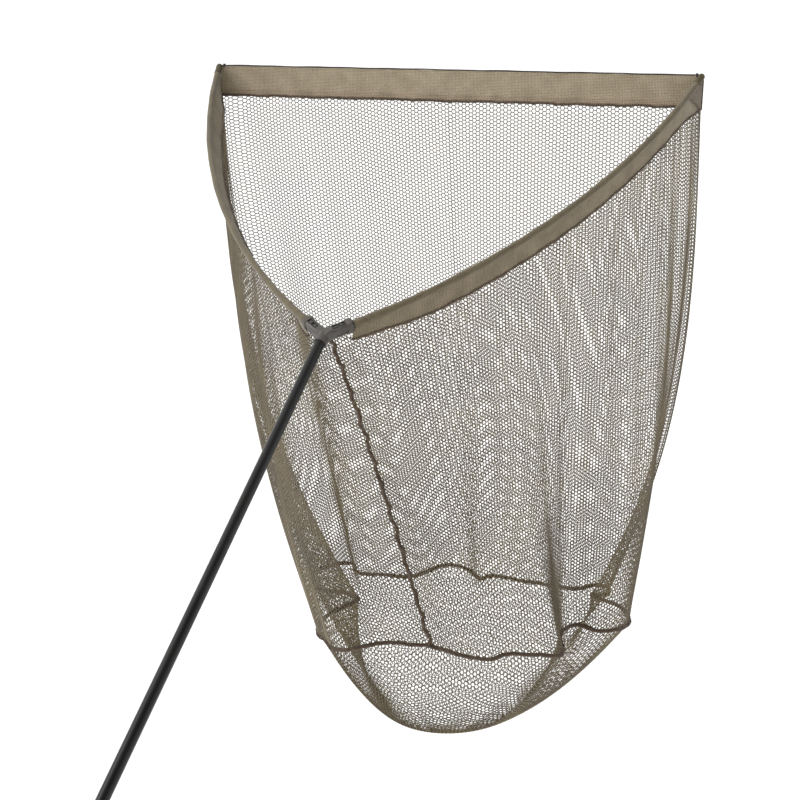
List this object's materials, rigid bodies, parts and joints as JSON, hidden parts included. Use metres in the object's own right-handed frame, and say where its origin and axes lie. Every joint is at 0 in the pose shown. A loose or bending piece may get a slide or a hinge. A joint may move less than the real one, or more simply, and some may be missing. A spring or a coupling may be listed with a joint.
{
  "type": "landing net",
  "caption": "Triangular landing net on a long screw-in handle, with bowed arms, a cord between their tips and a deep hanging mesh bag.",
  "frame": {"origin": "centre of the handle tube's top face, where the head screws on", "axes": "+Z is true up with the bag hanging, +X runs across the head from left tip to right tip, +Y runs away from the butt; the handle and the head's plane slope 31 degrees, rising towards +Y"},
  "size_m": [1.1424, 2.3323, 1.4413],
  "materials": {
    "block_nylon": "moulded, satin",
    "stud_steel": "turned",
    "tie_webbing": "woven",
    "net_mesh": "knitted mesh",
    "seam_binding": "overlocked",
    "band_mesh": "close mesh",
    "cord_braid": "braided",
    "ferrule_alloy": "black anodised",
    "arm_carbon": "satin lacquer",
    "sleeve_cloth": "woven",
    "cap_nylon": "moulded",
    "patch_cloth": "woven",
    "washer_rubber": "matte",
    "handle_carbon": "satin lacquer",
    "insert_alloy": "turned",
    "ring_alloy": "anodised",
    "grip_foam": "closed-cell foam",
    "butt_alloy": "black anodised"
  },
  "bodies": {
    "head": {"spreader_block": "block_nylon", "threaded_stud": "stud_steel", "sleeve_tie_left": "tie_webbing", "sleeve_tie_right": "tie_webbing", "net_wall_left": "net_mesh", "net_wall_right": "net_mesh", "net_wall_front": "net_mesh", "net_base": "net_mesh", "spine_seam": "seam_binding", "base_ring_seam": "seam_binding", "front_band": "band_mesh", "front_binding": "seam_binding", "tension_cord": "cord_braid"},
    "arm_left": {"arm_left": "arm_carbon", "arm_ferrule_left": "ferrule_alloy", "sleeve_left": "sleeve_cloth", "side_band_left": "band_mesh", "side_binding_left": "seam_binding", "tip_cap_left": "cap_nylon", "corner_patch_left": "patch_cloth", "cord_knot_left": "cord_braid"},
    "arm_right": {"arm_right": "arm_carbon", "arm_ferrule_right": "ferrule_alloy", "sleeve_right": "sleeve_cloth", "side_band_right": "band_mesh", "side_binding_right": "seam_binding", "tip_cap_right": "cap_nylon", "corner_patch_right": "patch_cloth", "cord_knot_right": "cord_braid"},
    "washer": {"lock_washer": "washer_rubber"},
    "handle": {"handle_tube": "handle_carbon", "thread_insert": "insert_alloy", "grip": "grip_foam", "grip_ring": "ring_alloy", "butt_cap": "butt_alloy"}
  },
  "joints": [
    {"name": "thread_travel", "type": "slide", "parent": "head", "child": "washer", "axis": [0, -0.8572, -0.515], "range_m": [0, 0.0127]},
    {"name": "thread_turn", "type": "hinge", "parent": "washer", "child": "handle", "pos_m": [0, 0, 0], "axis": [0, -0.8572, -0.515], "range_deg": [0, 3600]},
    {"name": "arm_pull_left", "type": "slide", "parent": "head", "child": "arm_left", "axis": [-0.788, 0.5277, 0.3171], "range_m": [0, 0.03]},
    {"name": "arm_pull_right", "type": "slide", "parent": "head", "child": "arm_right", "axis": [0.788, 0.5277, 0.3171], "range_m": [0, 0.03]}
  ],
  "couplings": [
    {"joint": "thread_turn", "follows": "thread_travel", "rad_per_m": 4947.4}
  ]
}
